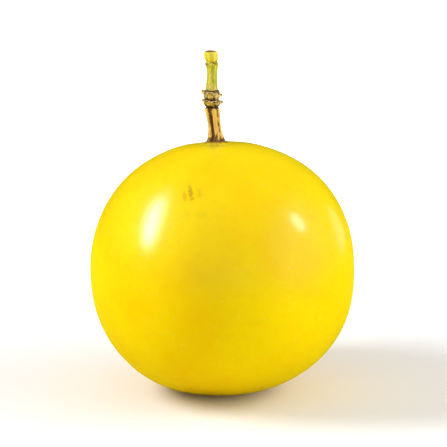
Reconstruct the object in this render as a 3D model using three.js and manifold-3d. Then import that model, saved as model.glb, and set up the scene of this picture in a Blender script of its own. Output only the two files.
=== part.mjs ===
// A ripe yellow passion fruit with the stalk that it was picked with, in millimetres, +Z up.
// The origin is the middle of the small flat spot that the fruit rests on. Seen from -Y, the
// stalk leans a little to the left and away, as the fruit lies on a spot beside its blossom end.
//
// Four pieces grew one on another, each of its own tissue and colour:
//   rind          the berry, round, slightly flattened at both ends
//   stalk         the ribbed, woody, tan stalk that carried the ovary in the flower
//   flower_scar   the dark, dry knot where petals and threads were shed, with its shrivelled stubs
//   green_stem    the fresh green stem of the vine, with the swollen end where it was picked
import * as THREE from "three";
import { mergeVertices } from "three/addons/utils/BufferGeometryUtils.js";
import Module from "manifold-3d";

const wasm = await Module();
wasm.setup();

// The berry
const DIAMETER = 70;
const HEIGHT_SHARE = 0.962; // pole to pole, against the diameter
const FULLNESS = 2.06; // of the upper half: 2 is an ellipse, and above it the shoulders are fuller
const FULLNESS_BELOW = 2.24; // of the lower half
const LEAN_LEFT = 3.2; // degrees, of the stalk's end from the upright
const LEAN_AWAY = 5.5;
const REST_RADIUS = 8; // of the flat spot
const LOBES = 3; // the three seed walls inside show as very faint lobes
const LOBE_RISE = 0.0035; // as a share of the radius
const SWELL = 0.2; // how far the slow, uneven waves of a grown skin stand out
// Where the lobes and the two waves start, in radians round the berry from +X
const LOBE_TURN = 0.6;
const OVAL_TURN = 1.1;
const BULGE_TURN = 0.7;

// The skin round the stalk's foot: a shallow dish with a little collar standing in it
const DISH_RADIUS = 11;
const DISH_DEPTH = 0.7;
const COLLAR_RADIUS = 5.2;
const COLLAR_RISE = 1.1;
const SEAT_BELOW_PEAK = 0.45; // the collar's top is cut flat, where the stalk sits
const SEAT_CUTTER_RADIUS = 7;
const SEAT_CUTTER_HEIGHT = 10;

// The stalk, the scar and the green stem, measured up from the seat
const STALK_LENGTH = 9;
const SCAR_LENGTH = 4.6;
const STEM_LENGTH = 9.8;
// Their middle line: left or right of the seat, towards or away from the viewer, and height
const MIDDLE_LINE = [
  [0, 0, 0],
  [-0.4, 0.3, STALK_LENGTH / 2],
  [-1.0, 0.7, STALK_LENGTH],
  [-1.1, 1.1, STALK_LENGTH + SCAR_LENGTH],
  [-0.9, 1.9, STALK_LENGTH + SCAR_LENGTH + STEM_LENGTH / 2],
  [-1.4, 3.0, STALK_LENGTH + SCAR_LENGTH + STEM_LENGTH],
];
// Radii, evenly spaced from the foot of each to its top
const STALK_RADII = [2.45, 2.0, 1.75, 1.7, 1.8, 1.95, 2.05];
const SCAR_RADII = [2.0, 1.85, 2.25, 2.25, 1.8, 1.75, 2.1, 2.2, 1.95, 1.9, 1.6];
const STEM_RADII = [1.7, 1.55, 1.45, 1.4, 1.36, 1.34, 1.36, 1.4, 1.52, 1.85, 1.42, 1.65, 1.85, 1.88, 1.72];
// Ripples round them: a depth is a share of the radius, and a twist is radians from foot to top
const STALK_RIBS = { count: 6, depth: 0.1, twist: 3 };
const SCAR_LUMPS = { count: 5, depth: 0.07, twist: 4 };
const STEM_FLUTES = { count: 4, depth: 0.05, twist: 1.5 };

// The shrivelled stubs round the scar: five sepals, and three bracts nearer the vine
const STUB_TIERS = [
  { count: 5, share: 0.32, reach: 2.8, radius: 0.8, turn: 0.3 },
  { count: 3, share: 0.66, reach: 2.4, radius: 0.72, turn: 0.9 },
];
const STUB_TAPER = 0.7; // its tip's radius, as a share of its root's
const STUB_SIDES = 7;
const STUB_UNEVENNESS = 0.25; // mm in reach, and radians in turn
const STUB_DRAWS = 7; // the seed of the uneven draws

// Facets
const BERRY_AROUND = 60;
const BERRY_ROWS = 42;
const POLE_CROWDING = 0.62; // rows lie closer towards both ends, where the shape turns fastest
const STALK_AROUND = 24;
const STALK_ROWS = 12;
const SCAR_AROUND = 24;
const SCAR_ROWS = 20;
const STEM_AROUND = 16;
const STEM_ROWS = 28;
const CUTTER_AROUND = 24;
const MERGE_DISTANCE = 1e-4;
const HALVINGS = 40;

const degrees = THREE.MathUtils.degToRad;

// A closed three.js geometry as a solid, and a solid as a geometry.
function solidOf(geometry) {
  const bare = new THREE.BufferGeometry().setAttribute("position", geometry.getAttribute("position"));
  const merged = mergeVertices(bare.setIndex(geometry.index), MERGE_DISTANCE);
  return new wasm.Manifold(
    new wasm.Mesh({
      numProp: 3,
      vertProperties: merged.attributes.position.array,
      triVerts: new Uint32Array(merged.index.array),
    }),
  );
}

function geometryOf(solid) {
  const mesh = solid.getMesh();
  return new THREE.BufferGeometry()
    .setAttribute("position", new THREE.BufferAttribute(mesh.vertProperties, 3))
    .setIndex(new THREE.BufferAttribute(mesh.triVerts, 1));
}

function finished(name, solid, color, roughness) {
  const flat = geometryOf(solid).toNonIndexed();
  flat.computeVertexNormals();
  const material = new THREE.MeshStandardMaterial({ color, roughness, metalness: 0 });
  const mesh = new THREE.Mesh(flat, material);
  mesh.name = name;
  return mesh;
}

// A smooth hump that is 1 at the middle and 0 from `reach` on.
function hump(distance, reach) {
  const share = Math.min(distance / reach, 1);
  return (1 - share * share) ** 2;
}

// A point of the berry's skin, in its own frame with the stalk's end up. `polar` runs from 0 at
// the stalk's end to pi at the blossom end.
function skinPoint(polar, azimuth) {
  const radius = DIAMETER / 2;
  const acrossShare = Math.sin(polar);
  const upShare = Math.cos(polar) / HEIGHT_SHARE;
  const fullness = upShare > 0 ? FULLNESS : FULLNESS_BELOW;
  const body = (acrossShare ** fullness + Math.abs(upShare) ** fullness) ** (-1 / fullness);
  const lobes = LOBE_RISE * acrossShare ** 2 * Math.cos(LOBES * azimuth + LOBE_TURN);
  const oval = Math.sin(2 * azimuth + OVAL_TURN) * acrossShare ** 2;
  const bulge = Math.cos(azimuth - BULGE_TURN) * Math.sin(2 * polar) * acrossShare;
  const reach = radius * body * (1 + lobes) + SWELL * (oval - bulge);
  const across = reach * acrossShare;
  let up = reach * Math.cos(polar);
  if (polar < Math.PI / 2)
    up += COLLAR_RISE * hump(across, COLLAR_RADIUS) - DISH_DEPTH * hump(across, DISH_RADIUS);
  return new THREE.Vector3(across * Math.cos(azimuth), across * Math.sin(azimuth), up);
}

// The whole berry before it is cut, leaning, with its lowest point at z = 0.
function berryBlank() {
  const blank = new THREE.SphereGeometry(1, BERRY_AROUND, BERRY_ROWS);
  const at = blank.attributes.position;
  const direction = new THREE.Vector3();
  for (let i = 0; i < at.count; i++) {
    direction.fromBufferAttribute(at, i);
    const share = Math.acos(THREE.MathUtils.clamp(direction.y, -1, 1)) / Math.PI;
    const crowded = share - (POLE_CROWDING * Math.sin(2 * Math.PI * share)) / (2 * Math.PI);
    const point = skinPoint(Math.PI * crowded, Math.atan2(-direction.z, direction.x));
    at.setXYZ(i, point.x, point.y, point.z);
  }
  blank.rotateX(-degrees(LEAN_AWAY)).rotateY(-degrees(LEAN_LEFT)).computeBoundingBox();
  const { min, max } = blank.boundingBox;
  return blank.translate(-(min.x + max.x) / 2, -(min.y + max.y) / 2, -min.z);
}

// How deep a level cut leaves a flat spot of this radius under the berry.
function depthOfFlat(radius) {
  const outShare = (2 * radius) / DIAMETER;
  const upShare = (1 - outShare ** FULLNESS_BELOW) ** (1 / FULLNESS_BELOW);
  return (DIAMETER / 2) * HEIGHT_SHARE * (1 - upShare);
}

// The sphere's first vertex is its upper pole, which is where the stalk grows.
const blank = berryBlank().translate(0, 0, -depthOfFlat(REST_RADIUS));
const peak = new THREE.Vector3().fromBufferAttribute(blank.attributes.position, 0);
const seat = peak.clone().setZ(peak.z - SEAT_BELOW_PEAK);

// The berry, cut flat where it rests and where the stalk sits.
function rind() {
  const size = DIAMETER * 2;
  const aboveTheTable = new THREE.BoxGeometry(size, size, size).translate(0, 0, size / 2);
  const overTheSeat = new THREE.CylinderGeometry(
    SEAT_CUTTER_RADIUS,
    SEAT_CUTTER_RADIUS,
    SEAT_CUTTER_HEIGHT,
    CUTTER_AROUND,
  )
    .rotateX(Math.PI / 2)
    .translate(seat.x, seat.y, seat.z + SEAT_CUTTER_HEIGHT / 2);
  const cut = solidOf(blank).intersect(solidOf(aboveTheTable)).subtract(solidOf(overTheSeat));
  return finished("rind", cut, 0xf8d20a, 0.32);
}

const middleLine = new THREE.CatmullRomCurve3(MIDDLE_LINE.map((place) => new THREE.Vector3(...place)));

// The line's place at a height over the seat, by halving, as its height only ever grows.
function lineAt(height) {
  let low = 0;
  let high = 1;
  for (let step = 0; step < HALVINGS; step++) {
    const middle = (low + high) / 2;
    if (middleLine.getPoint(middle).z < height) low = middle;
    else high = middle;
  }
  return middleLine.getPoint((low + high) / 2);
}

// A round stretch of the stem from one height over the seat to another. Its sections stay level,
// so its ends are flat faces. A smooth curve joins the radii, and the ripples fade at both ends.
function stretch(from, length, radii, ripples, around, rows) {
  const profile = new THREE.SplineCurve(radii.map((radius, i) => new THREE.Vector2(i, radius)));
  const geometry = new THREE.CylinderGeometry(1, 1, 1, around, rows).rotateX(Math.PI / 2);
  const at = geometry.attributes.position;
  for (let i = 0; i < at.count; i++) {
    const share = at.getZ(i) + 0.5;
    const angle = Math.atan2(at.getY(i), at.getX(i));
    const out = Math.hypot(at.getX(i), at.getY(i));
    const wave = Math.sin(Math.PI * share) * Math.cos(ripples.count * angle + ripples.twist * share);
    const radius = out * profile.getPoint(share).y * (1 + ripples.depth * wave);
    const middle = lineAt(from + length * share);
    at.setXYZ(
      i,
      seat.x + middle.x + radius * Math.cos(angle),
      seat.y + middle.y + radius * Math.sin(angle),
      seat.z + from + length * share,
    );
  }
  return solidOf(geometry);
}

function stalk() {
  const wood = stretch(0, STALK_LENGTH, STALK_RADII, STALK_RIBS, STALK_AROUND, STALK_ROWS);
  return finished("stalk", wood, 0xa9713a, 0.75);
}

// One shrivelled, blunt stub that sticks out of the scar, its root at the middle line.
function stub(tier, index) {
  const { count, share, reach, radius, turn } = tier;
  const draw = () => STUB_UNEVENNESS * (2 * THREE.MathUtils.seededRandom() - 1);
  const height = STALK_LENGTH + SCAR_LENGTH * share;
  const middle = lineAt(height);
  const length = reach + draw();
  const geometry = new THREE.CylinderGeometry(radius * STUB_TAPER, radius, length, STUB_SIDES)
    .rotateZ(-Math.PI / 2)
    .translate(length / 2, 0, 0)
    .rotateY(draw())
    .rotateZ(turn + (index / count) * 2 * Math.PI + draw())
    .translate(seat.x + middle.x, seat.y + middle.y, seat.z + height);
  return solidOf(geometry);
}

function flowerScar() {
  THREE.MathUtils.seededRandom(STUB_DRAWS);
  const knot = stretch(STALK_LENGTH, SCAR_LENGTH, SCAR_RADII, SCAR_LUMPS, SCAR_AROUND, SCAR_ROWS);
  const stubs = STUB_TIERS.flatMap((tier) => Array.from({ length: tier.count }, (_, i) => stub(tier, i)));
  const scar = stubs.reduce((joined, one) => joined.add(one), knot);
  return finished("flower_scar", scar, 0x4a2f1c, 0.85);
}

function greenStem() {
  const from = STALK_LENGTH + SCAR_LENGTH;
  const stem = stretch(from, STEM_LENGTH, STEM_RADII, STEM_FLUTES, STEM_AROUND, STEM_ROWS);
  return finished("green_stem", stem, 0x9cab2f, 0.6);
}

const passionFruit = new THREE.Group();
passionFruit.add(rind(), stalk(), flowerScar(), greenStem());

export default passionFruit;
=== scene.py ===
"""A ripe yellow passion fruit: its fine skin, blossom scar, stalk, flower scar and green stem, in metres.

Laid out as a Blender add-on. Each operator models one piece, over the node of the frame that it
replaces where there is one, and the last one sets the floor, the lights and the camera.
"""

import math
import random
from itertools import pairwise

import bmesh
import bpy
from bpy.props import FloatProperty, FloatVectorProperty, IntProperty, PointerProperty
from mathutils import Matrix, Vector


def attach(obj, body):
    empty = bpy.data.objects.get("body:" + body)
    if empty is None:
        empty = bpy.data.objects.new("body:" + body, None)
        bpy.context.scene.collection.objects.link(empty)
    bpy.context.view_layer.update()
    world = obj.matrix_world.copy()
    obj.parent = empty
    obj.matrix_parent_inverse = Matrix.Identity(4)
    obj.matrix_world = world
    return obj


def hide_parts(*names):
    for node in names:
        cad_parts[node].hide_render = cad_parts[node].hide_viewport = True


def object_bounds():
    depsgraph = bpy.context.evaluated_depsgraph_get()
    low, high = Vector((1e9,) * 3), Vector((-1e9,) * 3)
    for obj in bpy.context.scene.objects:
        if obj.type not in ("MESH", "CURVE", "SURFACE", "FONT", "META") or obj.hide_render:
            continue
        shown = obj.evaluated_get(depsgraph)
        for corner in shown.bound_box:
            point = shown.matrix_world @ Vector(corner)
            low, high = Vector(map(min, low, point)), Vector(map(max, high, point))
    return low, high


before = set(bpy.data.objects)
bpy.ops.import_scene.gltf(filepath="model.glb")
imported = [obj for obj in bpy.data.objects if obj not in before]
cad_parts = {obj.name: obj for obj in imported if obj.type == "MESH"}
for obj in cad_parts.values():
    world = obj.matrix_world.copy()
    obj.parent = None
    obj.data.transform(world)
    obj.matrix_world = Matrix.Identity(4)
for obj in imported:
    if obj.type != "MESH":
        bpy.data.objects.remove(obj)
frame_bounds = [list(corner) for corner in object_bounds()]

bl_info = {
    "name": "Passion Fruit",
    "version": (1, 0, 0),
    "blender": (4, 5, 0),
    "location": "3D View > Sidebar > Passion Fruit",
    "description": "Models and finishes a ripe yellow passion fruit with its stalk, on a pale floor",
    "category": "Object",
}

BODY = "root"

# How finely the pieces are made
SKIN_ROWS = 76
SKIN_AROUND = 100
SKIN_SUBDIVISIONS = 1
POLE_CROWDING = 0.62  # rows lie closer towards both ends, as in the solid
STALK_AROUND = 36
KNOT_AROUND = 36
KNOT_VOXEL = 0.00011
STEM_AROUND = 24
NUB_AROUND = 16
FINE_SUBDIVISIONS = 2
MERGE_DISTANCE = 1e-6

# The creases round the stalk's foot, and how much they vary
CREASE_SEED = 4
CREASE_START = 0.0019
CREASE_HALF_WIDTH = 0.00009
CREASE_SOFTNESS = 0.0009
CREASE_DROP = 0.003  # how far below the foot they may reach
CREASE_TURN = (-0.25, 0.25)  # in gaps between them
CREASE_REACH = (0.8, 1.15)
CREASE_PRESS = (0.6, 1.2)

# The flat spot's softened rim, and the points that draw the dimple up
RIM_HEIGHT = 0.0004
RIM_SMOOTHING = 6
NAVEL_GRIP = 0.0004

# Radii of the nub at the blossom end, each at a share of its dimple's depth
NUB_RINGS = [(0.30, 0.00030), (0.38, 0.00052), (0.60, 0.00050), (0.80, 0.00085), (1.25, 0.00110)]

# Radii along the flower scar and the green stem, each at a share of the way up
KNOT_RINGS = [
    (0.0, 0.00200),
    (0.09, 0.00180),
    (0.17, 0.00222),
    (0.30, 0.00226),
    (0.38, 0.00176),
    (0.45, 0.00174),
    (0.53, 0.00214),
    (0.68, 0.00224),
    (0.80, 0.00208),
    (0.90, 0.00204),
    (1.0, 0.00158),
]
KNOT_RADIUS = 0.0022
STEM_RINGS = [
    (0.0, 0.00172),
    (0.07, 0.00158),
    (0.22, 0.00142),
    (0.42, 0.00134),
    (0.54, 0.00140),
    (0.61, 0.00162),
    (0.655, 0.00184),
    (0.69, 0.00172),
    (0.715, 0.00140),
    (0.735, 0.00138),
    (0.76, 0.00162),
    (0.82, 0.00184),
    (0.92, 0.00188),
    (1.0, 0.00170),
]
NECK_SHARE = 0.725

# Each foot is sunk in what carries it, and the stalk's is a little flared
STALK_SINK = 0.0005
STALK_FLARE = 1.06
STEM_SINK = 0.0004

# Grooves: the angle round the axis, half the width as an angle, and the share of the radius left
STALK_GROOVES = [
    (-1.95, 0.24, 0.74),
    (-0.75, 0.17, 0.88),
    (0.5, 0.2, 0.84),
    (1.7, 0.17, 0.86),
    (2.9, 0.2, 0.82),
]
STEM_FLUTES = [(-2.2, 0.2, 0.86), (-0.7, 0.2, 0.9), (0.9, 0.2, 0.86), (2.5, 0.2, 0.9)]

# The shrivelled stubs on the flower scar, and how much they vary
STUB_SEED = 11
STUB_SIZE = Vector((0.0014, 0.0025, 0.0009))  # outwards, across and upwards, without the tip
STUB_TIP = Vector((0.0006, 0.0, 0.0003))
STUB_END_TAPER = (1.0, 0.9, 0.85)
STUB_TIP_TAPER = (1.0, 0.65, 0.7)
STUB_REACH = 0.0010
STUB_TIERS = ((5, 0.30), (3, 0.66))  # how many, and at what share of the scar's height
STUB_TURN = (-0.15, 0.15)  # in gaps between them
STUB_RISE = (-0.0002, 0.0002)
STUB_DROOP = (-0.35, 0.2)

# The cut end of the green stem: each step inwards, as a share of the radius, and up
CUT_STEPS = [(0.16, 0.0), (0.10, -0.00035), (0.30, 0.00018), (0.15, 0.0)]
CUT_LEVEL = 0.0001  # points this near the top belong to it
# How far out, as a share of the radius, and how far down its dry colour goes, each with its fade
DRY_REACH, DRY_REACH_FADE = 0.92, 0.15
DRY_DEPTH, DRY_DEPTH_FADE = 0.0007, 0.0003

# Uneven swellings: the size of the blobs, how far they stand out, and how they are drawn out upwards
SKIN_SWELLINGS = {"size": 0.022, "depth": 0}
NUB_LUMPS = {"size": 0.0005, "strength": 0.00025}
STALK_RIBS = {"size": 0.0007, "strength": 0.00045, "stretch": 7.0, "start": (0.01, 0.02, 0.0)}
STALK_GRAIN = {"size": 0.00035, "strength": 0.00012, "stretch": 2.0}
KNOT_LUMPS = {"size": 0.0006, "strength": 0.00042}
KNOT_GRAIN = {"size": 0.00025, "strength": 0.00012, "start": (0.01, 0.0, 0.0), "depth": 1}
STEM_RIBS = {"size": 0.0008, "strength": 0.0002, "stretch": 6.0}

# Shares of the radius where a hollow ends, where a ridge is full, and where a stub's tip is dark again. The
# hollows are darkened partly with painted shade.
NUB_RIDGES = {"low": 0.7, "high": 1.1}
STALK_RIDGES = {"low": 0.78, "high": 1.02}
KNOT_RIDGES = {"low": 0.80, "high": 1.06, "tip": 1.42}

# Tints: where each starts, where it is full, and how strong it is there. The places are distances
# from a middle, or heights over the middle of the berry, the foot of the piece or the stem's neck.
LOW_AMBER = (-0.008, -0.034, 0.06)
STALK_OLIVE = (0.0075, 0.0030, 0.55)
STALK_CORK = (0.0036, 0.0026, 1.0)
NAVEL_CORK = (0.0024, 0.0012, 1.0)
# The next darkens the stalk towards its foot where it meets the skin: painted shade, partly the wood's own
# darker colour
FOOT_PAINTED_SHADE = (0.0022, 0.0004, 0.6)
FOOT_STRAW = (0.0016, 0.0002, 0.5)
CAP_YELLOW = (-0.0012, 0.0006, 0.75)
# The next is a painted shadow round the stem's neck, under its swollen cap
NECK_PAINTED_SHADOW = (0.0006, 0.0001, 0.85)

# A broad, faint painted shade on the skin's front, in the cork colour: its middle, its reach each way, and
# its tint in reaches from its middle
PAINTED_SHADE_MIDDLE = (-0.0035, -0.033, 0.0451)
PAINTED_SHADE_REACH = (0.0085, 0.03, 0.017)
PAINTED_SHADE_TINT = (1.4, 0.2, 0.13)

# Soft brown scuffs on the skin: the middle, the direction, half the length and width, and the darkness
SCUFFS = [
    ((-0.0099, -0.0222, 0.0577), (0.16, -0.78, -0.60), 0.0022, 0.0007, 0.28),
    ((-0.0084, -0.0218, 0.0586), (0.17, -0.78, -0.60), 0.0034, 0.0007, 0.52),
    ((-0.0060, -0.0225, 0.0586), (0.05, -0.80, -0.59), 0.0020, 0.0008, 0.22),
    ((-0.0096, -0.0261, 0.0539), (0.95, -0.10, 0.20), 0.0024, 0.0010, 0.07),
    ((-0.0055, -0.0274, 0.0540), (0.90, -0.30, -0.10), 0.0022, 0.0012, 0.09),
]
SCUFF_START, SCUFF_FULL = 1.2, 0.3  # in reaches from its middle

# The camera stands off with a long lens, and looks down a little
CAMERA_ELEVATION = math.radians(14.0)
CAMERA_DISTANCE = 0.7
FRAME_WIDTH = 0.118  # what the picture takes in, across, at the fruit

# The surroundings: white as seen, dimmer as a light, and golden as mirrored in the skin
WHITE = (1.0, 1.0, 1.0, 1.0)
BLACK = (0.0, 0.0, 0.0, 1.0)
WORLD_LIGHT = (0.45, 0.45, 0.45, 1.0)
WORLD_GLOSS = (0.50, 0.40, 0.01, 1.0)

# The floor: white as seen, and golden as what it throws back on the fruit
FLOOR_RADIUS = 3.0
FLOOR_AROUND = 96
FLOOR_DROP = 0.00005
FLOOR_WHITE = (0.92, 0.92, 0.92, 1.0)
FLOOR_BOUNCE = (0.72, 0.67, 0.02, 1.0)
FLOOR_NEAR, FLOOR_FAR = 0.06, 0.22  # where it starts to glow, and where it is all white

# Each light faces the berry from a direction, with its long side along another
LIGHT_DISTANCE = 0.6
LIGHT_AIM = 0.37  # the share of the fruit's height where the middle of the berry is
LIGHTS = {
    "left_softbox": {
        "direction": (-0.803, -0.079, 0.594),
        "along": (0.382, 0.666, 0.641),
        "size": (0.21, 0.58),
        "power": 0.35,
        "mirrored": True,
    },
    "left_softbox_core": {
        "direction": (-0.803, -0.079, 0.594),
        "along": (0.382, 0.666, 0.641),
        "size": (0.115, 0.36),
        "power": 2.6,
        "mirrored": True,
    },
    "right_softbox": {
        "direction": (0.849, -0.089, 0.538),
        "along": (-0.2, 0.3, 0.9),
        "size": (0.10, 0.155),
        "power": 0.28,
        "mirrored": True,
    },
    "right_fill": {
        "direction": (0.92, -0.10, 0.25),
        "along": (0.0, 0.0, 1.0),
        "size": (0.8, 0.8),
        "power": 4.0,
        "mirrored": False,
    },
    "low_fill": {
        "direction": (0.1, -0.95, -0.02),
        "along": (0.0, 0.0, 1.0),
        "size": (0.8, 0.3),
        "power": 0.42,
        "mirrored": False,
    },
    "rim_softbox": {
        "direction": (0.775, 0.631, 0.04),
        "along": (0.0, 0.0, 1.0),
        "size": (0.22, 0.28),
        "power": 0.11,
        "mirrored": True,
    },
}

# Sockets of the colour form of the Mix node, which shares its sockets' names with other forms
MIX_FACTOR, MIX_A, MIX_B, MIX_RESULT = 0, 6, 7, 2


def length(name, description, default):
    """A length in metres that a user can change"""
    return FloatProperty(name=name, description=description, default=default, unit="LENGTH", precision=5)


def colour(name, description, default):
    """A linear colour that a user can change"""
    return FloatVectorProperty(
        name=name,
        description=description,
        default=(*default, 1.0),
        size=4,
        subtype="COLOR",
        min=0.0,
        max=1.0,
    )


class FruitSizes(bpy.types.PropertyGroup):
    """The berry's driving sizes, the same as its solid's, and the sizes of the fine forms on it"""

    diameter: length("Diameter", "Width of the berry", 0.070)
    height_share: FloatProperty(name="Height", description="Pole to pole against the width", default=0.962)
    fullness: FloatProperty(
        name="Fullness",
        description="Of the upper half: 2 is an ellipse, and more fills the shoulders",
        default=2.06,
    )
    fullness_below: FloatProperty(name="Fullness below", description="Of the lower half", default=2.24)
    lean_left: FloatProperty(
        name="Lean left", description="Of the stalk's end", default=math.radians(3.2), subtype="ANGLE"
    )
    lean_away: FloatProperty(
        name="Lean away", description="Of the stalk's end", default=math.radians(5.5), subtype="ANGLE"
    )
    dish_radius: length("Dish radius", "Reach of the shallow dish round the stalk", 0.011)
    dish_depth: length("Dish depth", "Depth of that dish", 0.0007)
    collar_radius: length("Collar radius", "Reach of the collar round the stalk's foot", 0.0052)
    collar_rise: length("Collar rise", "Height of that collar", 0.0011)
    peak_over_seat: length("Peak over seat", "How far the skin's peak is hidden in the stalk's foot", 0.00045)
    unevenness: length("Unevenness", "How far the slow swellings of the skin stand out", 0.0007)
    pucker_count: IntProperty(name="Puckers", description="Creases round the stalk's foot", default=9)
    pucker_depth: length("Pucker depth", "Depth of those creases", 0.00022)
    navel_radius: length("Navel radius", "Reach of the dimple at the blossom end", 0.0026)
    navel_depth: length("Navel depth", "Depth of that dimple", 0.0009)


class FruitColours(bpy.types.PropertyGroup):
    """Colours of the skin, the wood and the green stem"""

    gold: colour("Gold", "The skin where it is ripest", (0.93, 0.62, 0.001))
    lemon: colour("Lemon", "The skin where it is palest", (0.95, 0.70, 0.002))
    amber: colour("Amber", "The warm tint of the lower skin", (0.88, 0.43, 0.001))
    olive: colour("Olive", "The tint of the skin round the stalk", (0.46, 0.40, 0.02))
    # Cork also colours the faint painted shade on the skin's front
    cork: colour("Cork", "The dry rings on the skin, its scuffs and its faint shade", (0.28, 0.12, 0.018))
    dot: colour("Dot", "The pale pores of the skin", (0.98, 0.82, 0.12))
    tan: colour("Tan", "The ridges of the stalk", (0.84, 0.53, 0.13))
    # Umber darkens the stalk's grooves, partly as painted shade, and is the painted shadow round the stem's
    # neck
    umber: colour("Umber", "The grooves of the stalk and the neck of the stem", (0.14, 0.055, 0.008))
    # Bark darkens the flower scar's hollows, partly as painted shade, against straw on its ridges
    bark: colour("Bark", "The hollows of the flower scar", (0.045, 0.017, 0.007))
    straw: colour("Straw", "The worn ridges of the flower scar", (0.70, 0.50, 0.18))
    green: colour("Green", "The darker streaks of the green stem", (0.30, 0.31, 0.014))
    lime: colour("Lime", "The paler streaks of the green stem", (0.68, 0.60, 0.06))
    cap: colour("Cap", "The swollen end of the green stem", (0.80, 0.66, 0.04))
    cut: colour("Cut", "The dry end where the fruit was picked", (0.20, 0.07, 0.025))


def deselect_all():
    """Leaves nothing selected, so that the next operator acts on the new object alone"""
    if bpy.context.object and bpy.context.object.mode != "OBJECT":
        bpy.ops.object.mode_set(mode="OBJECT")
    bpy.ops.object.select_all(action="DESELECT")


def make_active(piece):
    """Selects one object and makes it the active one"""
    deselect_all()
    piece.select_set(True)
    bpy.context.view_layer.objects.active = piece


def take(name):
    """Names the primitive just added and puts its place into its mesh"""
    piece = bpy.context.object
    piece.name = name
    piece.data.name = name
    bpy.ops.object.transform_apply(location=True, rotation=True, scale=True)
    return piece


def edit(piece):
    """Enters edit mode on one piece, with points as what is selected"""
    make_active(piece)
    bpy.ops.object.mode_set(mode="EDIT")
    bpy.ops.mesh.select_mode(type="VERT")


def pick(piece, wanted):
    """Selects, in edit mode, the points for whose place the test is true"""
    bpy.ops.mesh.select_all(action="DESELECT")
    mesh = bmesh.from_edit_mesh(piece.data)
    for point in mesh.verts:
        point.select = wanted(point.co)
    mesh.select_flush_mode()
    bmesh.update_edit_mesh(piece.data)


def close_up(piece):
    """Joins doubled points and turns all faces outwards"""
    edit(piece)
    bpy.ops.mesh.select_all(action="SELECT")
    bpy.ops.mesh.remove_doubles(threshold=MERGE_DISTANCE)
    bpy.ops.mesh.normals_make_consistent(inside=False)
    bpy.ops.object.mode_set(mode="OBJECT")


def modify(piece, kind, **settings):
    """Adds a modifier to the piece and applies it"""
    make_active(piece)
    bpy.ops.object.modifier_add(type=kind)
    modifier = piece.modifiers[-1]
    for name, value in settings.items():
        setattr(modifier, name, value)
    bpy.ops.object.modifier_apply(modifier=modifier.name)


def subdivide(piece, levels):
    """Rounds the piece with a subdivision surface"""
    modify(piece, "SUBSURF", levels=levels, render_levels=levels)


def roughen(piece, size, strength, stretch=1.0, start=(0.0, 0.0, 0.0), depth=2):
    """Swells and dents the piece by a cloudy pattern whose blobs have a size, drawn out upwards"""
    texture = bpy.data.textures.new(piece.name + "_clouds", "CLOUDS")
    texture.noise_scale = 1.0
    texture.noise_depth = depth
    deselect_all()
    bpy.ops.object.empty_add(location=start)
    guide = bpy.context.object
    guide.scale = (size, size, size * stretch)
    bpy.context.view_layer.update()
    modify(
        piece,
        "DISPLACE",
        texture=texture,
        texture_coords="OBJECT",
        texture_coords_object=guide,
        strength=strength,
        mid_level=0.5,
    )
    bpy.data.objects.remove(guide)
    bpy.data.textures.remove(texture)


def finish_piece(piece, node, material):
    """Shades a finished piece, gives it its material, hides the node it stands for, and parents it to what it
    moves with
    """
    make_active(piece)
    bpy.ops.object.shade_smooth()
    piece.data.materials.clear()
    piece.data.materials.append(material)
    if node:
        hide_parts(node)
    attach(piece, BODY)


def level_rings(node):
    """The middle and the radius of each level ring of points of a node of the frame, from its foot up"""
    levels = {}
    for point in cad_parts[node].data.vertices:
        levels.setdefault(round(point.co.z, 5), set()).add(point.co.to_tuple(6))
    rings = []
    for level in sorted(levels):
        places = [Vector(place) for place in levels[level]]
        middle = sum(places, Vector()) / len(places)
        reach = [(place - middle).length for place in places]
        outer = [out for out in reach if out > max(reach) / 2]
        rings.append((middle, sum(outer) / len(outer)))
    return rings


SEAT = level_rings("stalk")[0][0]
LOWEST, HIGHEST = (Vector(corner) for corner in frame_bounds)


def clamped(value):
    """A value kept between 0 and 1"""
    return min(max(value, 0.0), 1.0)


def hump(distance, reach):
    """A smooth hump that is 1 at the middle and 0 from the reach on"""
    share = min(distance / reach, 1.0)
    return (1.0 - share * share) ** 2


def skin_profile(sizes):
    """Places of the skin from the blossom end up to the stalk's end, before it leans"""
    radius = sizes.diameter / 2
    places = []
    for row in range(SKIN_ROWS, -1, -1):
        share = row / SKIN_ROWS
        polar = math.pi * share - POLE_CROWDING * math.sin(math.tau * share) / 2
        across, up = abs(math.sin(polar)), math.cos(polar)
        power = sizes.fullness if up > 0 else sizes.fullness_below
        reach = radius * (across**power + abs(up / sizes.height_share) ** power) ** (-1 / power)
        place = Vector((reach * across, 0.0, reach * up))
        if up > 0:
            place.z += sizes.collar_rise * hump(place.x, sizes.collar_radius)
            place.z -= sizes.dish_depth * hump(place.x, sizes.dish_radius)
        places.append(place)
    places[0].x = places[-1].x = 0.0
    return places


def spun_skin(sizes):
    """Extrudes the profile point by point, and spins it into a closed skin"""
    places = skin_profile(sizes)
    deselect_all()
    bpy.ops.mesh.primitive_plane_add(size=MERGE_DISTANCE, location=places[0])
    skin = take("berry")
    edit(skin)
    bpy.ops.mesh.select_all(action="SELECT")
    bpy.ops.mesh.merge(type="CENTER")
    for here, there in pairwise(places):
        bpy.ops.mesh.extrude_region_move(TRANSFORM_OT_translate={"value": there - here})
    bpy.ops.mesh.select_all(action="SELECT")
    bpy.ops.mesh.spin(steps=SKIN_AROUND, angle=math.tau, center=(0, 0, 0), axis=(0, 0, 1))
    close_up(skin)
    return skin


def stance(sizes):
    """The middle of the berry, and where its blossom end meets the table"""
    turn = Matrix.Rotation(-sizes.lean_left, 3, "Y") @ Matrix.Rotation(-sizes.lean_away, 3, "X")
    axis = turn @ Vector((0.0, 0.0, 1.0))
    middle = SEAT + Vector((0.0, 0.0, sizes.peak_over_seat)) - axis * skin_profile(sizes)[-1].z
    return middle, middle - axis * (middle.z / axis.z)


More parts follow.
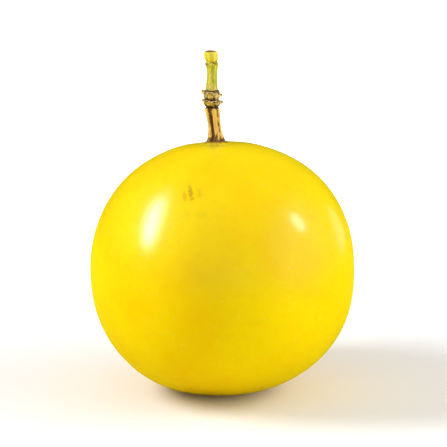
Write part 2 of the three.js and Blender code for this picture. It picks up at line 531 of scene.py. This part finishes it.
def lean_skin(skin, sizes):
    """Leans the skin, and lifts it so that its peak is in the foot of the stalk"""
    middle, _ = stance(sizes)
    origin = (0.0, 0.0, 0.0)
    edit(skin)
    bpy.ops.mesh.select_all(action="SELECT")
    bpy.ops.transform.rotate(value=sizes.lean_away, orient_axis="X", center_override=origin)
    bpy.ops.transform.rotate(value=sizes.lean_left, orient_axis="Y", center_override=origin)
    bpy.ops.transform.translate(value=middle)
    bpy.ops.object.mode_set(mode="OBJECT")


def nudge(value, reach):
    """Moves what is selected and draws the points near it along"""
    bpy.ops.transform.translate(
        value=value,
        use_proportional_edit=True,
        proportional_edit_falloff="SMOOTH",
        proportional_size=reach,
        use_proportional_connected=True,
    )


def pucker_skin(skin, sizes):
    """Presses uneven creases into the collar, from the stalk's foot outwards"""
    draw = random.Random(CREASE_SEED)
    edit(skin)
    for crease in range(sizes.pucker_count):
        turn = math.tau * (crease + draw.uniform(*CREASE_TURN)) / sizes.pucker_count
        end = sizes.collar_radius * draw.uniform(*CREASE_REACH)
        towards = Vector((math.cos(turn), math.sin(turn), 0.0))

        def in_crease(place):
            out = place - SEAT
            out.z = 0.0
            along = out.dot(towards)
            return CREASE_START < along < end and (out - towards * along).length < CREASE_HALF_WIDTH

        pick(skin, lambda place: place.z > SEAT.z - CREASE_DROP and in_crease(place))
        nudge((0.0, 0.0, -sizes.pucker_depth * draw.uniform(*CREASE_PRESS)), CREASE_SOFTNESS)
    bpy.ops.object.mode_set(mode="OBJECT")


def press_level(skin):
    """Presses what is under the table's level up to it"""
    pick(skin, lambda place: place.z < 0)
    bpy.ops.transform.resize(value=(1.0, 1.0, 0.0), center_override=(0.0, 0.0, 0.0))


def flatten_underside(skin, sizes):
    """Presses the lowest skin level, softens the rim, and dimples the blossom end"""
    _, blossom_end = stance(sizes)
    edit(skin)
    press_level(skin)
    pick(skin, lambda place: place.z < RIM_HEIGHT)
    bpy.ops.mesh.vertices_smooth(factor=0.5, repeat=RIM_SMOOTHING)
    press_level(skin)
    pick(skin, lambda place: (place - blossom_end).length < NAVEL_GRIP)
    nudge((0.0, 0.0, sizes.navel_depth), sizes.navel_radius)
    bpy.ops.object.mode_set(mode="OBJECT")


def grow_column(name, rings, around, grooves=()):
    """A closed column: a face is extruded from each ring to the next, and scaled to its radius"""
    (foot, radius), *_ = rings
    deselect_all()
    bpy.ops.mesh.primitive_circle_add(vertices=around, radius=radius, fill_type="NGON", location=foot)
    column = take(name)
    edit(column)
    for angle, half_width, share in grooves:
        def in_groove(place):
            turn = math.atan2(place.y - foot.y, place.x - foot.x) - angle
            return abs((turn + math.pi) % math.tau - math.pi) < half_width

        pick(column, in_groove)
        bpy.ops.transform.resize(value=(share, share, 1.0), center_override=foot)
    bpy.ops.mesh.select_all(action="SELECT")
    for (here, before), (there, after) in pairwise(rings):
        bpy.ops.mesh.extrude_region_move(TRANSFORM_OT_translate={"value": there - here})
        bpy.ops.transform.resize(value=(after / before, after / before, 1.0), center_override=there)
    bpy.ops.object.mode_set(mode="OBJECT")
    close_up(column)
    return column


def middle_at(rings, height):
    """The middle and the radius of a row of rings at a height"""
    for (here, before), (there, after) in pairwise(rings):
        if height <= there.z:
            share = max(0.0, (height - here.z) / (there.z - here.z))
            return here.lerp(there, share), before + (after - before) * share
    return rings[-1]


def mark(piece, name, value_at):
    """Stores a value for each point of the piece, for its material to read"""
    layer = piece.data.attributes.new(name, "FLOAT", "POINT")
    for point in piece.data.vertices:
        layer.data[point.index].value = value_at(point.co)


def mark_ridges(piece, rings, low, high, tip=math.inf):
    """Marks each point by its share of the radius there, from 0 in a hollow to 1 on a ridge, and
    0 again from a tip's share on"""
    def ridge(place):
        middle, radius = middle_at(rings, place.z)
        out = math.hypot(place.x - middle.x, place.y - middle.y) / radius
        return clamped(min((out - low), (tip - out)) / (high - low))

    mark(piece, "ridge", ridge)


def add(tree, kind, inputs=None, **settings):
    """A node of a tree, with its settings, and with its inputs as values or as other sockets"""
    node = tree.nodes.new("ShaderNode" + kind)
    for name, value in settings.items():
        setattr(node, name, value)
    for name, value in (inputs or {}).items():
        if isinstance(value, bpy.types.NodeSocket):
            tree.links.new(value, node.inputs[name])
        else:
            node.inputs[name].default_value = value
    return node


def mix(tree, factor, first, second):
    """One colour laid over another by a factor"""
    inputs = {MIX_FACTOR: factor, MIX_A: first, MIX_B: second}
    return add(tree, "Mix", inputs, data_type="RGBA").outputs[MIX_RESULT]


def math_of(tree, how, first, second=0.0, clamp=False):
    """A sum on two values"""
    return add(tree, "Math", {0: first, 1: second}, operation=how, use_clamp=clamp).outputs[0]


def ramp(tree, value, low, high, to_low=0.0, to_high=1.0):
    """A value's smooth step between two levels"""
    levels = {"Value": value, "From Min": low, "From Max": high, "To Min": to_low, "To Max": to_high}
    return add(tree, "MapRange", levels, interpolation_type="SMOOTHSTEP").outputs[0]


def tint(tree, value, levels, origin=0.0):
    """How strong a tint is, from its start, its full level and its strength, measured from an origin"""
    start, full, strength = levels
    return ramp(tree, value, origin + start, origin + full, 0.0, strength)


def noise(tree, place, scale, detail=2.0, roughness=0.5, distortion=0.0):
    """A cloudy value at a place"""
    inputs = {
        "Vector": place,
        "Scale": scale,
        "Detail": detail,
        "Roughness": roughness,
        "Distortion": distortion,
    }
    return add(tree, "TexNoise", inputs).outputs["Fac"]


def distance_from(tree, place, middle, reach=(1.0, 1.0, 1.0), turn=(0.0, 0.0, 0.0)):
    """How far each place is from a middle, in reaches along its three turned axes"""
    inputs = {"Vector": place, "Location": middle, "Rotation": turn, "Scale": reach}
    within = add(tree, "Mapping", inputs, vector_type="TEXTURE").outputs[0]
    return add(tree, "VectorMath", {0: within}, operation="LENGTH").outputs["Value"]


def height_of(tree, place):
    """The height of each place"""
    return add(tree, "SeparateXYZ", {0: place}).outputs["Z"]


def bump(tree, height, distance, strength, below=None):
    """The normal of a height pattern, laid over another normal"""
    inputs = {"Height": height, "Distance": distance, "Strength": strength}
    if below is not None:
        inputs["Normal"] = below
    return add(tree, "Bump", inputs).outputs[0]


def new_group(name, inputs, outputs):
    """An empty shader node group with named sockets"""
    group = bpy.data.node_groups.new(name, "ShaderNodeTree")
    for label, kind, default in inputs:
        socket = group.interface.new_socket(label, in_out="INPUT", socket_type="NodeSocket" + kind)
        if default is not None:
            socket.default_value = default
    for label, kind in outputs:
        group.interface.new_socket(label, in_out="OUTPUT", socket_type="NodeSocket" + kind)
    return group, group.nodes.new("NodeGroupInput").outputs, group.nodes.new("NodeGroupOutput").inputs


def pores_group():
    """Scattered round pores, each of its own size, as a mask"""
    name = "Pores"
    if name in bpy.data.node_groups:
        return bpy.data.node_groups[name]
    tree, given, result = new_group(
        name,
        [("Vector", "Vector", None), ("Per Metre", "Float", 400.0), ("Radius", "Float", 0.2)],
        [("Mask", "Float")],
    )
    cells = add(tree, "TexVoronoi", {"Vector": given["Vector"], "Scale": given["Per Metre"]})
    each = add(tree, "SeparateColor", {0: cells.outputs["Color"]}).outputs
    edge = math_of(tree, "MULTIPLY", given["Radius"], each[0])
    inner = math_of(tree, "MULTIPLY", edge, 0.4)
    tree.links.new(ramp(tree, cells.outputs["Distance"], edge, inner), result["Mask"])
    return tree


def fibres_group():
    """Fine uneven fibres along the Z axis, and broad patches among them"""
    name = "Fibres"
    if name in bpy.data.node_groups:
        return bpy.data.node_groups[name]
    tree, given, result = new_group(
        name,
        [("Vector", "Vector", None), ("Per Metre", "Float", 2500.0), ("Draw", "Float", 0.12)],
        [("Fibres", "Float"), ("Patches", "Float")],
    )
    squeeze = add(tree, "CombineXYZ", {0: 1.0, 1: 1.0, 2: given["Draw"]}).outputs[0]
    drawn = add(tree, "VectorMath", {0: given["Vector"], 1: squeeze}, operation="MULTIPLY").outputs[0]
    fibres = noise(tree, drawn, given["Per Metre"], detail=4.0, roughness=0.65, distortion=0.3)
    coarse = math_of(tree, "MULTIPLY", given["Per Metre"], 0.25)
    patches = noise(tree, given["Vector"], coarse, detail=3.0, roughness=0.6)
    tree.links.new(ramp(tree, fibres, 0.35, 0.65), result["Fibres"])
    tree.links.new(ramp(tree, patches, 0.35, 0.65), result["Patches"])
    return tree


def pores(tree, place, per_metre, radius):
    """The mask of the pores at a place"""
    inputs = {"Vector": place, "Per Metre": per_metre, "Radius": radius}
    return add(tree, "Group", inputs, node_tree=pores_group()).outputs["Mask"]


def grain(tree, place, per_metre, drawn_out):
    """The fibres and the patches at a place"""
    inputs = {"Vector": place, "Per Metre": per_metre, "Draw": drawn_out}
    return add(tree, "Group", inputs, node_tree=fibres_group()).outputs


def new_material(name):
    """A node material, its tree, its main shader and the object's coordinates"""
    material = bpy.data.materials.new(name)
    material.use_nodes = True
    tree = material.node_tree
    shader = tree.nodes["Principled BSDF"]
    place = add(tree, "TexCoord").outputs["Object"]
    return material, tree, shader, place


def scuff_mask(tree, place):
    """The scuffs on the skin, with frayed edges"""
    frayed = ramp(tree, noise(tree, place, 1100.0, detail=3.0, roughness=0.7), 0.25, 0.75, -0.45, 0.45)
    mask = 0.0
    for middle, along, half_length, half_width, darkness in SCUFFS:
        turn = Vector(along).to_track_quat("Z", "Y").to_euler()
        out = distance_from(tree, place, middle, (half_width, half_width, half_length), turn)
        out = math_of(tree, "ADD", out, frayed)
        mask = math_of(tree, "MAXIMUM", mask, tint(tree, out, (SCUFF_START, SCUFF_FULL, darkness)))
    return mask


def rind_material(colours, centre, blossom_end):
    """Waxy yellow skin: gold and lemon mottling, pale pores, corky rings, a faint painted shade on its front,
    and scuffs
    """
    material, tree, shader, place = new_material("waxy_yellow_rind")
    cloud = noise(tree, place, 38.0)
    fine = noise(tree, place, 420.0, detail=3.0, roughness=0.6)
    skin = mix(tree, ramp(tree, cloud, 0.36, 0.64), tuple(colours.gold), tuple(colours.lemon))
    skin = mix(tree, ramp(tree, fine, 0.45, 0.75, 0.0, 0.16), skin, tuple(colours.amber))
    skin = mix(tree, tint(tree, height_of(tree, place), LOW_AMBER, centre.z), skin, tuple(colours.amber))
    # A faint painted shade darkens the front of the skin towards cork
    painted_shade = tint(tree, distance_from(tree, place, PAINTED_SHADE_MIDDLE, PAINTED_SHADE_REACH), PAINTED_SHADE_TINT)
    skin = mix(tree, painted_shade, skin, tuple(colours.cork))
    dots = pores(tree, place, per_metre=480.0, radius=0.26)
    skin = mix(tree, math_of(tree, "MULTIPLY", dots, 0.35), skin, tuple(colours.dot))

    ragged = ramp(tree, noise(tree, place, 900.0, detail=4.0, roughness=0.7), 0.2, 0.8, -0.0012, 0.0012)
    from_stalk = math_of(tree, "ADD", distance_from(tree, place, SEAT), ragged)
    from_blossom = math_of(tree, "ADD", distance_from(tree, place, blossom_end), ragged)
    skin = mix(tree, tint(tree, from_stalk, STALK_OLIVE), skin, tuple(colours.olive))
    cork = tint(tree, from_stalk, STALK_CORK)
    skin = mix(tree, cork, skin, tuple(colours.cork))
    navel = tint(tree, from_blossom, NAVEL_CORK)
    skin = mix(tree, navel, skin, tuple(colours.cork))
    scuff = scuff_mask(tree, place)
    skin = mix(tree, scuff, skin, tuple(colours.cork))
    tree.links.new(skin, shader.inputs["Base Color"])

    dry = math_of(tree, "MAXIMUM", cork, navel)
    rough = ramp(tree, noise(tree, place, 160.0, detail=3.0), 0.3, 0.7, 0.27, 0.36)
    for mask, rise in ((dots, 0.1), (scuff, 0.2), (dry, 0.4)):
        rough = math_of(tree, "ADD", rough, math_of(tree, "MULTIPLY", mask, rise), clamp=True)
    tree.links.new(rough, shader.inputs["Roughness"])
    wax = math_of(tree, "SUBTRACT", 1.0, dry, clamp=True)
    tree.links.new(wax, shader.inputs["Coat Weight"])

    normal = bump(tree, noise(tree, place, 700.0), distance=0.00004, strength=0.5)
    normal = bump(tree, dots, distance=0.00004, strength=0.6, below=normal)
    swell = noise(tree, place, 90.0, detail=1.0)
    normal = bump(tree, swell, distance=0.0003, strength=0.35, below=normal)
    tree.links.new(normal, shader.inputs["Normal"])

    shader.inputs["IOR"].default_value = 1.42
    shader.inputs["Specular IOR Level"].default_value = 0.05
    shader.inputs["Coat Roughness"].default_value = 0.18
    shader.inputs["Coat IOR"].default_value = 1.58
    shader.inputs["Subsurface Weight"].default_value = 0.12
    shader.inputs["Subsurface Radius"].default_value = (1.0, 0.45, 0.05)
    shader.inputs["Subsurface Scale"].default_value = 0.0025
    return material


def wood_material(name, dark, light, foot=None):
    """Dry fibrous wood, dark in its hollows and light on its ridges, the hollows partly its own colour and
    partly painted shade, and darker at a foot's height with painted shade
    """
    material, tree, shader, place = new_material(name)
    wood = grain(tree, place, per_metre=2600.0, drawn_out=0.12)
    # The ridge mark darkens the hollows: partly the wood's own colour, partly painted shade
    mask = add(tree, "Attribute", attribute_name="ridge", attribute_type="GEOMETRY").outputs["Fac"]
    mask = math_of(tree, "ADD", mask, ramp(tree, wood["Fibres"], 0.0, 1.0, -0.22, 0.22), clamp=True)
    mask = math_of(tree, "ADD", mask, ramp(tree, wood["Patches"], 0.0, 1.0, -0.18, 0.12), clamp=True)
    # Painted shade, partly the wood's own darker colour, darkens the wood towards its foot
    if foot is not None:
        uneven = ramp(tree, wood["Patches"], 0.0, 1.0, -0.0005, 0.0005)
        height = math_of(tree, "ADD", height_of(tree, place), uneven)
        mask = math_of(tree, "SUBTRACT", mask, tint(tree, height, FOOT_PAINTED_SHADE, foot), clamp=True)
    tone = mix(tree, ramp(tree, mask, 0.2, 0.85), tuple(dark), tuple(light))
    tree.links.new(tone, shader.inputs["Base Color"])
    tree.links.new(ramp(tree, wood["Patches"], 0.0, 1.0, 0.62, 0.85), shader.inputs["Roughness"])
    normal = bump(tree, wood["Fibres"], distance=0.00006, strength=0.8)
    normal = bump(tree, wood["Patches"], distance=0.00008, strength=0.5, below=normal)
    tree.links.new(normal, shader.inputs["Normal"])
    return material


def stem_material(colours, foot, neck):
    """Fresh stem: green with lime streaks, drier at its foot, with a painted shadow round its neck, yellower
    above, brown where cut
    """
    material, tree, shader, place = new_material("fresh_green_stem")
    wood = grain(tree, place, per_metre=2200.0, drawn_out=0.08)
    tone = mix(tree, wood["Fibres"], tuple(colours.green), tuple(colours.lime))
    dots = pores(tree, place, per_metre=1500.0, radius=0.25)
    tone = mix(tree, math_of(tree, "MULTIPLY", dots, 0.4), tone, tuple(colours.straw))
    uneven = ramp(tree, wood["Patches"], 0.0, 1.0, -0.0006, 0.0006)
    height = math_of(tree, "ADD", height_of(tree, place), uneven)
    tone = mix(tree, tint(tree, height, FOOT_STRAW, foot), tone, tuple(colours.straw))
    tone = mix(tree, tint(tree, height, CAP_YELLOW, neck), tone, tuple(colours.cap))
    # A painted shadow darkens the stem to umber round its neck, under the cap
    from_neck = math_of(tree, "ABSOLUTE", math_of(tree, "SUBTRACT", height, neck))
    tone = mix(tree, tint(tree, from_neck, NECK_PAINTED_SHADOW), tone, tuple(colours.umber))
    dry = add(tree, "Attribute", attribute_name="cut", attribute_type="GEOMETRY").outputs["Fac"]
    tone = mix(tree, dry, tone, tuple(colours.cut))
    tree.links.new(tone, shader.inputs["Base Color"])
    tree.links.new(ramp(tree, wood["Patches"], 0.0, 1.0, 0.42, 0.6), shader.inputs["Roughness"])
    normal = bump(tree, wood["Fibres"], distance=0.00005, strength=0.6)
    tree.links.new(normal, shader.inputs["Normal"])
    return material


class FRUIT_OT_berry(bpy.types.Operator):
    """Spins the skin, leans it, puckers it at the stalk and presses its underside flat"""

    bl_idname = "fruit.berry"
    bl_label = "Berry"

    def execute(self, context):
        sizes, colours = context.scene.fruit_sizes, context.scene.fruit_colours
        skin = spun_skin(sizes)
        lean_skin(skin, sizes)
        subdivide(skin, SKIN_SUBDIVISIONS)
        roughen(skin, strength=sizes.unevenness, **SKIN_SWELLINGS)
        pucker_skin(skin, sizes)
        flatten_underside(skin, sizes)
        finish_piece(skin, "rind", rind_material(colours, *stance(sizes)))
        return {"FINISHED"}


class FRUIT_OT_blossom_scar(bpy.types.Operator):
    """Grows the small, dry nub in the dimple under the berry, where the flower's style fell off"""

    bl_idname = "fruit.blossom_scar"
    bl_label = "Blossom scar"

    def execute(self, context):
        sizes, colours = context.scene.fruit_sizes, context.scene.fruit_colours
        _, blossom_end = stance(sizes)
        up = Vector((0.0, 0.0, sizes.navel_depth))
        rings = [(blossom_end + up * share, radius) for share, radius in NUB_RINGS]
        nub = grow_column("blossom_scar", rings, NUB_AROUND)
        subdivide(nub, FINE_SUBDIVISIONS)
        roughen(nub, **NUB_LUMPS)
        mark_ridges(nub, rings, **NUB_RIDGES)
        finish_piece(nub, None, wood_material("dry_dark_nub", colours.bark, colours.cork))
        return {"FINISHED"}


class FRUIT_OT_stalk(bpy.types.Operator):
    """Grows the ribbed, woody stalk, with one deep groove at the front"""

    bl_idname = "fruit.stalk"
    bl_label = "Stalk"

    def execute(self, context):
        colours = context.scene.fruit_colours
        rings = level_rings("stalk")
        foot, radius = rings[0]
        rings.insert(0, (foot - Vector((0.0, 0.0, STALK_SINK)), radius * STALK_FLARE))
        stalk = grow_column("woody_stalk", rings, STALK_AROUND, STALK_GROOVES)
        subdivide(stalk, FINE_SUBDIVISIONS)
        roughen(stalk, **STALK_RIBS)
        roughen(stalk, **STALK_GRAIN)
        mark_ridges(stalk, rings, **STALK_RIDGES)
        material = wood_material("fibrous_tan_wood", colours.umber, colours.tan, foot.z)
        finish_piece(stalk, "stalk", material)
        return {"FINISHED"}


class FRUIT_OT_flower_scar(bpy.types.Operator):
    """Grows the knot, joins shrivelled stubs to it and makes them one lumpy body"""

    bl_idname = "fruit.flower_scar"
    bl_label = "Flower scar"

    def execute(self, context):
        colours = context.scene.fruit_colours
        foot, top = level_rings("stalk")[-1][0], level_rings("green_stem")[0][0]
        rings = [(foot.lerp(top, share), radius) for share, radius in KNOT_RINGS]
        knot = grow_column("flower_scar_knot", rings, KNOT_AROUND)
        subdivide(knot, FINE_SUBDIVISIONS)
        self.add_stubs(knot, rings)
        modify(knot, "REMESH", mode="VOXEL", voxel_size=KNOT_VOXEL)
        modify(knot, "SMOOTH", factor=0.5, iterations=2)
        roughen(knot, **KNOT_LUMPS)
        roughen(knot, **KNOT_GRAIN)
        level = [(middle, KNOT_RADIUS) for middle, _ in rings]
        mark_ridges(knot, level, **KNOT_RIDGES)
        material = wood_material("dry_dark_scar", colours.bark, colours.straw)
        finish_piece(knot, "flower_scar", material)
        return {"FINISHED"}

    def new_stub(self):
        """A flat stub that points outwards, with a narrower, raised tip"""
        end = Vector((STUB_SIZE.x, 0.0, 0.0))
        deselect_all()
        bpy.ops.mesh.primitive_cube_add(size=1.0, scale=STUB_SIZE, location=end / 2)
        stub = take("stub")
        edit(stub)
        pick(stub, lambda place: place.x > STUB_SIZE.x / 2)
        bpy.ops.transform.resize(value=STUB_END_TAPER, center_override=end)
        bpy.ops.mesh.extrude_region_move(TRANSFORM_OT_translate={"value": STUB_TIP})
        bpy.ops.transform.resize(value=STUB_TIP_TAPER, center_override=end + STUB_TIP)
        bpy.ops.object.mode_set(mode="OBJECT")
        subdivide(stub, FINE_SUBDIVISIONS)
        return stub

    def add_stubs(self, knot, rings):
        """Copies one stub round the knot in two uneven tiers, and joins the copies to it"""
        stub = self.new_stub()
        foot, top = rings[0][0].z, rings[-1][0].z
        draw = random.Random(STUB_SEED)
        copies = []
        for count, share in STUB_TIERS:
            middle, _ = middle_at(rings, foot + (top - foot) * share)
            for index in range(count):
                copy = stub.copy()
                copy.data = stub.data.copy()
                bpy.context.scene.collection.objects.link(copy)
                turn = math.tau * (index + share / 2 + draw.uniform(*STUB_TURN)) / count
                place = (
                    Matrix.Translation(middle + Vector((0.0, 0.0, draw.uniform(*STUB_RISE))))
                    @ Matrix.Rotation(turn, 4, "Z")
                    @ Matrix.Rotation(draw.uniform(*STUB_DROOP), 4, "Y")
                    @ Matrix.Translation((STUB_REACH, 0.0, 0.0))
                )
                copy.data.transform(place)
                copies.append(copy)
        bpy.data.objects.remove(stub)
        make_active(knot)
        for copy in copies:
            copy.select_set(True)
        bpy.ops.object.join()


class FRUIT_OT_green_stem(bpy.types.Operator):
    """Grows the fluted green stem, with its swollen, dry, hollowed end"""

    bl_idname = "fruit.green_stem"
    bl_label = "Green stem"

    def execute(self, context):
        colours = context.scene.fruit_colours
        along = level_rings("green_stem")
        foot, tip = along[0][0], along[-1][0]
        rings = []
        for share, radius in STEM_RINGS:
            middle, _ = middle_at(along, foot.z + (tip.z - foot.z) * share)
            rings.append((middle, radius))
        rings.insert(0, (foot - Vector((0.0, 0.0, STEM_SINK)), rings[0][1]))
        stem = grow_column("fresh_stem", rings, STEM_AROUND, STEM_FLUTES)
        self.cut_end(stem, *rings[-1])
        subdivide(stem, FINE_SUBDIVISIONS)
        roughen(stem, **STEM_RIBS)
        self.mark_cut(stem, *rings[-1])
        neck = foot.z + (tip.z - foot.z) * NECK_SHARE
        finish_piece(stem, "green_stem", stem_material(colours, foot.z, neck))
        return {"FINISHED"}

    def cut_end(self, stem, top, radius):
        """Gives the top a rim, and hollows it round the pith"""
        edit(stem)
        pick(stem, lambda place: place.z > top.z - CUT_LEVEL)
        for inwards, up in CUT_STEPS:
            bpy.ops.mesh.inset(thickness=radius * inwards)
            bpy.ops.transform.translate(value=(0.0, 0.0, up))
        bpy.ops.mesh.poke()
        bpy.ops.object.mode_set(mode="OBJECT")

    def mark_cut(self, stem, top, radius):
        """Marks the hollow of the cut end as dry"""
        def dryness(place):
            out = math.hypot(place.x - top.x, place.y - top.y) / radius
            near = clamped((DRY_REACH - out) / DRY_REACH_FADE)
            return near * clamped((place.z - top.z + DRY_DEPTH) / DRY_DEPTH_FADE)

        mark(stem, "cut", dryness)


class FRUIT_OT_stage(bpy.types.Operator):
    """Lays the pale floor, hangs the soft lights, and sets the camera"""

    bl_idname = "fruit.stage"
    bl_label = "Stage"

    def execute(self, context):
        self.floor()
        self.surroundings(context.scene)
        for name, light in LIGHTS.items():
            self.softbox(name, **light)
        self.camera(context.scene)
        context.scene.view_settings.view_transform = "Standard"
        return {"FINISHED"}

    def floor(self):
        """A wide, round floor that fades into the white surroundings"""
        deselect_all()
        bpy.ops.mesh.primitive_circle_add(
            vertices=FLOOR_AROUND, radius=FLOOR_RADIUS, fill_type="NGON", location=(0.0, 0.0, -FLOOR_DROP)
        )
        floor = take("floor")
        material, tree, shader, place = new_material("pale_floor")
        seen = add(tree, "LightPath").outputs["Is Camera Ray"]
        tone = mix(tree, seen, FLOOR_BOUNCE, FLOOR_WHITE)
        tree.links.new(tone, shader.inputs["Base Color"])
        far = ramp(tree, distance_from(tree, place, (0.0, 0.0, 0.0)), FLOOR_NEAR, FLOOR_FAR)
        glow = mix(tree, math_of(tree, "MULTIPLY", seen, far), BLACK, FLOOR_WHITE)
        tree.links.new(glow, shader.inputs["Emission Color"])
        shader.inputs["Emission Strength"].default_value = 1.0
        shader.inputs["Roughness"].default_value = 0.8
        shader.inputs["Specular IOR Level"].default_value = 0.0
        floor.data.materials.append(material)

    def surroundings(self, scene):
        """A world that is white as seen, dimmer as a light, and golden as mirrored in the skin"""
        world = bpy.data.worlds.new("white_surroundings")
        scene.world = world
        world.use_nodes = True
        tree = world.node_tree
        background = tree.nodes["Background"]
        ray = add(tree, "LightPath").outputs
        around = mix(tree, ray["Is Glossy Ray"], WORLD_LIGHT, WORLD_GLOSS)
        around = mix(tree, ray["Is Camera Ray"], around, WHITE)
        tree.links.new(around, background.inputs["Color"])
        background.inputs["Strength"].default_value = 1.0

    def softbox(self, name, direction, along, size, power, mirrored):
        """A soft elliptical light that faces the berry, and shows in its gloss only if mirrored"""
        towards = Vector(direction).normalized()
        middle = Vector((0.0, 0.0, HIGHEST.z * LIGHT_AIM))
        long_side = Vector(along)
        long_side = (long_side - towards * long_side.dot(towards)).normalized()
        short_side = long_side.cross(towards)
        turn = Matrix((short_side, long_side, towards)).transposed()
        place = middle + towards * LIGHT_DISTANCE
        deselect_all()
        bpy.ops.object.light_add(type="AREA", location=place, rotation=turn.to_euler())
        light = bpy.context.object
        light.name = name
        light.data.shape = "ELLIPSE"
        light.data.size, light.data.size_y = size
        light.data.energy = power
        light.visible_camera = False
        light.visible_glossy = mirrored

    def camera(self, scene):
        """A long lens that looks down a little, from the front"""
        middle = (LOWEST + HIGHEST) / 2
        back = Vector((0.0, -math.cos(CAMERA_ELEVATION), math.sin(CAMERA_ELEVATION)))
        turn = (-back).to_track_quat("-Z", "Y").to_euler()
        deselect_all()
        bpy.ops.object.camera_add(location=middle + back * CAMERA_DISTANCE, rotation=turn)
        camera = bpy.context.object
        camera.data.lens = camera.data.sensor_width * CAMERA_DISTANCE / FRAME_WIDTH
        scene.camera = camera


class VIEW3D_PT_passion_fruit(bpy.types.Panel):
    """Lists the sizes, the colours and the pieces"""

    bl_label = "Passion Fruit"
    bl_space_type = "VIEW_3D"
    bl_region_type = "UI"
    bl_category = "Passion Fruit"

    def draw(self, context):
        for group in (context.scene.fruit_sizes, context.scene.fruit_colours):
            box = self.layout.box()
            for name in group.__annotations__:
                box.prop(group, name)
        for operator in OPERATORS:
            self.layout.operator(operator.bl_idname)


OPERATORS = (
    FRUIT_OT_berry,
    FRUIT_OT_blossom_scar,
    FRUIT_OT_stalk,
    FRUIT_OT_flower_scar,
    FRUIT_OT_green_stem,
    FRUIT_OT_stage,
)
CLASSES = (FruitSizes, FruitColours, *OPERATORS, VIEW3D_PT_passion_fruit)


def register():
    """Registers the classes and gives the scene its sizes and colours"""
    for each in CLASSES:
        bpy.utils.register_class(each)
    bpy.types.Scene.fruit_sizes = PointerProperty(type=FruitSizes)
    bpy.types.Scene.fruit_colours = PointerProperty(type=FruitColours)


def unregister():
    """Takes back what register did"""
    del bpy.types.Scene.fruit_colours
    del bpy.types.Scene.fruit_sizes
    for each in reversed(CLASSES):
        bpy.utils.unregister_class(each)


def main():
    """Makes every piece and the stage"""
    register()
    bpy.ops.fruit.berry()
    bpy.ops.fruit.blossom_scar()
    bpy.ops.fruit.stalk()
    bpy.ops.fruit.flower_scar()
    bpy.ops.fruit.green_stem()
    bpy.ops.fruit.stage()


if __name__ == "__main__":
    main()
